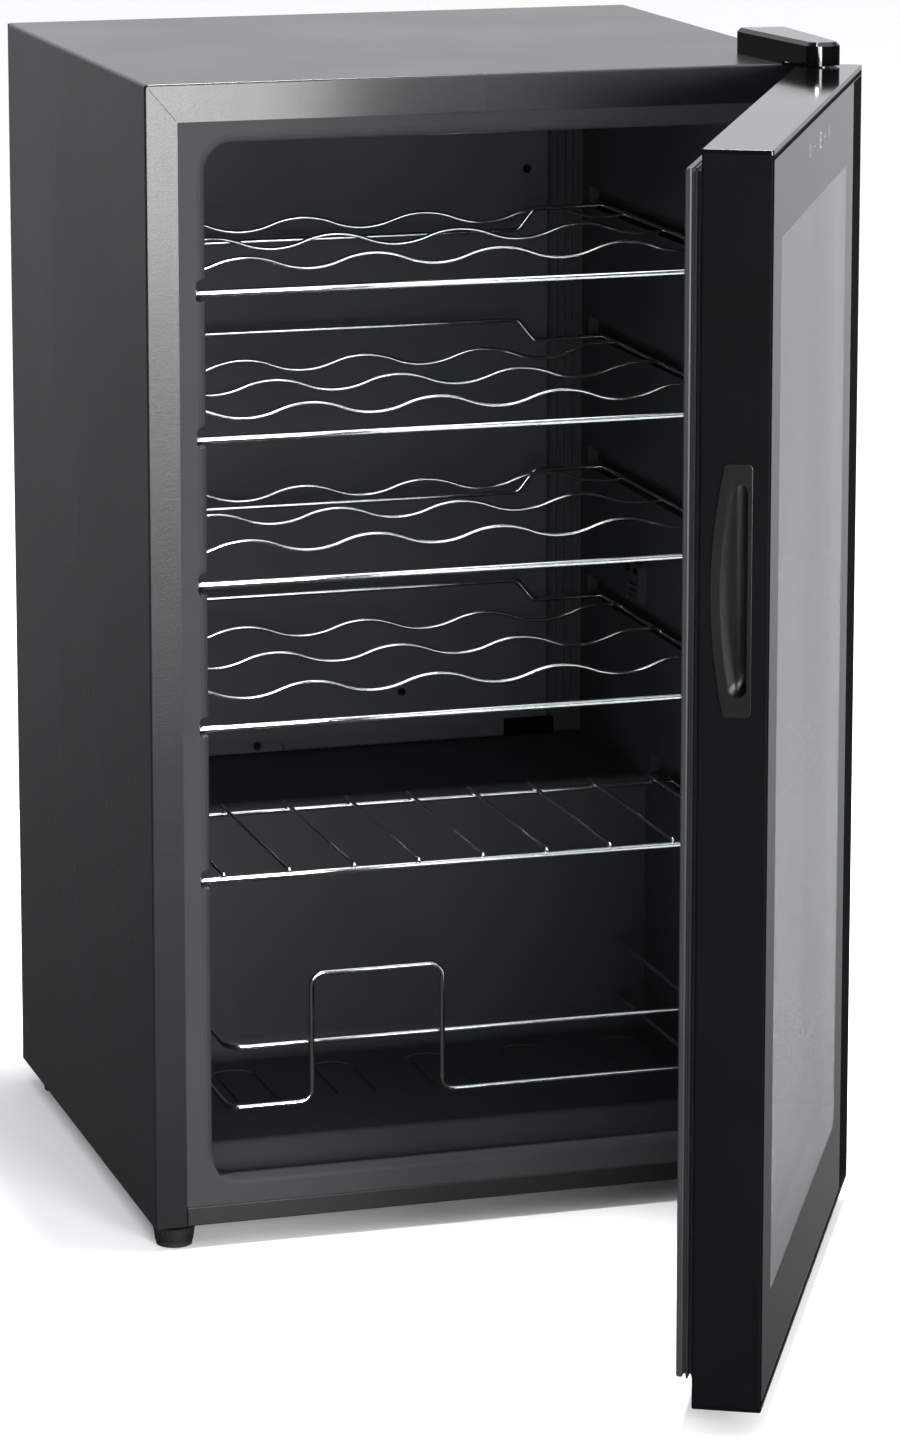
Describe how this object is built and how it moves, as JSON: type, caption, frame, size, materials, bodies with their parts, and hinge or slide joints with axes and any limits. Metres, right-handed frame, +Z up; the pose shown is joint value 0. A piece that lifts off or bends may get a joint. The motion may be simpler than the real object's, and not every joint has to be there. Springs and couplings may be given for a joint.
{
  "type": "wine cooler",
  "caption": "Free-standing wine cooler with a hinged glass door, wire bottle shelves that slide, a bottle fence, levelling feet and a rear compressor bay.",
  "frame": {"origin": "on the floor, under the middle of the cabinet body seen from above (480 wide, 425 deep)", "axes": "+Z up; the front faces -Y; +X is the hinge side, on the right seen from the front. At rest the door stands open 62.5 degrees."},
  "size_m": [0.4953, 0.881, 0.8245],
  "materials": {
    "charcoal_powder_coat": "satin",
    "galvanised_sheet": "satin",
    "rear_sheet_paint": "matte",
    "compressor_paint": "satin",
    "motor_steel": "matte",
    "black_rubber": "matte",
    "zinc_hardware": "satin",
    "black_service_plastic": "matte",
    "white_service_plastic": "matte",
    "copper": "satin",
    "circuit_board": "satin",
    "grey_moulded_cover": "satin",
    "aluminium_plate": "satin",
    "lamp_lens": "satin",
    "black_liner_plastic": "satin",
    "chromed_wire": "polished",
    "black_foot_plastic": "satin",
    "black_gloss_plastic": "gloss",
    "black_door_frame": "satin",
    "tinted_glass": "gloss",
    "clear_glass": "gloss",
    "door_seal": "satin",
    "magnet": "matte",
    "display_lens": "gloss",
    "nylon": "satin",
    "rigid_foam": "matte"
  },
  "bodies": {
    "cabinet": {"bottle_fence": "chromed_wire", "bottom_hinge_bracket": "zinc_hardware", "bottom_hinge_screws": "zinc_hardware", "capillary_tube": "copper", "compressor_base_plate": "galvanised_sheet", "compressor_bolts": "zinc_hardware", "compressor_grommets": "black_rubber", "compressor_housing": "compressor_paint", "compressor_motor": "motor_steel", "compressor_relay_cover": "black_service_plastic", "condenser_return_pipe": "copper", "condenser_tubes": "copper", "control_board": "circuit_board", "control_box": "white_service_plastic", "discharge_pipe": "copper", "drain_spout": "grey_moulded_cover", "drain_tube": "white_service_plastic", "drip_tray": "black_service_plastic", "evaporator_cover": "grey_moulded_cover", "evaporator_plate": "aluminium_plate", "filter_drier": "copper", "front_base_rail": "charcoal_powder_coat", "inner_liner": "black_liner_plastic", "insulation_foam": "rigid_foam", "interior_lamp_lens": "lamp_lens", "interior_screws": "zinc_hardware", "levelling_foot_nuts": "zinc_hardware", "mains_cord_gland": "black_service_plastic", "outer_wrap": "charcoal_powder_coat", "rear_feet": "black_foot_plastic", "rear_panel": "rear_sheet_paint", "stepped_base_sheet": "galvanised_sheet", "suction_pipe": "copper", "temperature_sensor_cover": "black_liner_plastic", "top_hinge_bracket": "zinc_hardware", "top_hinge_cover": "black_gloss_plastic", "top_hinge_screws": "zinc_hardware"},
    "door": {"door_frame": "black_door_frame", "door_top_cap": "black_gloss_plastic", "door_bottom_cap": "black_gloss_plastic", "outer_glass": "tinted_glass", "glass_spacer_bar": "aluminium_plate", "inner_glass": "clear_glass", "door_gasket": "door_seal", "gasket_magnets": "magnet", "handle_pocket": "black_gloss_plastic", "touch_control_board": "circuit_board", "display_block": "display_lens", "top_hinge_bush": "nylon", "bottom_hinge_bush": "nylon", "door_cap_screws": "zinc_hardware"},
    "wine_shelf_1": {"wine_shelf_1": "chromed_wire"},
    "wine_shelf_2": {"wine_shelf_2": "chromed_wire"},
    "wine_shelf_3": {"wine_shelf_3": "chromed_wire"},
    "wine_shelf_4": {"wine_shelf_4": "chromed_wire"},
    "flat_wire_shelf": {"flat_wire_shelf": "chromed_wire"},
    "foot_sole_left": {"foot_sole_left": "black_rubber"},
    "levelling_foot_left": {"levelling_foot_left": "black_foot_plastic"},
    "foot_sole_right": {"foot_sole_right": "black_rubber"},
    "levelling_foot_right": {"levelling_foot_right": "black_foot_plastic"}
  },
  "joints": [
    {"name": "door_hinge", "type": "hinge", "parent": "cabinet", "child": "door", "pos_m": [0.2275, -0.2426, 0.4], "axis": [0, 0, 1], "range_deg": [-62.5, 57.5]},
    {"name": "wine_shelf_1_slide", "type": "slide", "parent": "cabinet", "child": "wine_shelf_1", "axis": [0, -1, 0], "range_m": [0, 0.025]},
    {"name": "wine_shelf_2_slide", "type": "slide", "parent": "cabinet", "child": "wine_shelf_2", "axis": [0, -1, 0], "range_m": [0, 0.025]},
    {"name": "wine_shelf_3_slide", "type": "slide", "parent": "cabinet", "child": "wine_shelf_3", "axis": [0, -1, 0], "range_m": [0, 0.025]},
    {"name": "wine_shelf_4_slide", "type": "slide", "parent": "cabinet", "child": "wine_shelf_4", "axis": [0, -1, 0], "range_m": [0, 0.025]},
    {"name": "flat_wire_shelf_slide", "type": "slide", "parent": "cabinet", "child": "flat_wire_shelf", "axis": [0, -1, 0], "range_m": [0, 0.025]},
    {"name": "foot_left_travel", "type": "slide", "parent": "cabinet", "child": "foot_sole_left", "axis": [0, 0, -1], "range_m": [0, 0.0075]},
    {"name": "foot_left_turn", "type": "hinge", "parent": "foot_sole_left", "child": "levelling_foot_left", "pos_m": [-0.223, -0.1955, 0.008], "axis": [0, 0, -1], "range_deg": [0, 2160]},
    {"name": "foot_right_travel", "type": "slide", "parent": "cabinet", "child": "foot_sole_right", "axis": [0, 0, -1], "range_m": [0, 0.0075]},
    {"name": "foot_right_turn", "type": "hinge", "parent": "foot_sole_right", "child": "levelling_foot_right", "pos_m": [0.223, -0.1955, 0.008], "axis": [0, 0, -1], "range_deg": [0, 2160]}
  ],
  "couplings": [
    {"joint": "foot_left_turn", "follows": "foot_left_travel", "rad_per_m": 5026.5},
    {"joint": "foot_right_turn", "follows": "foot_right_travel", "rad_per_m": 5026.5}
  ]
}
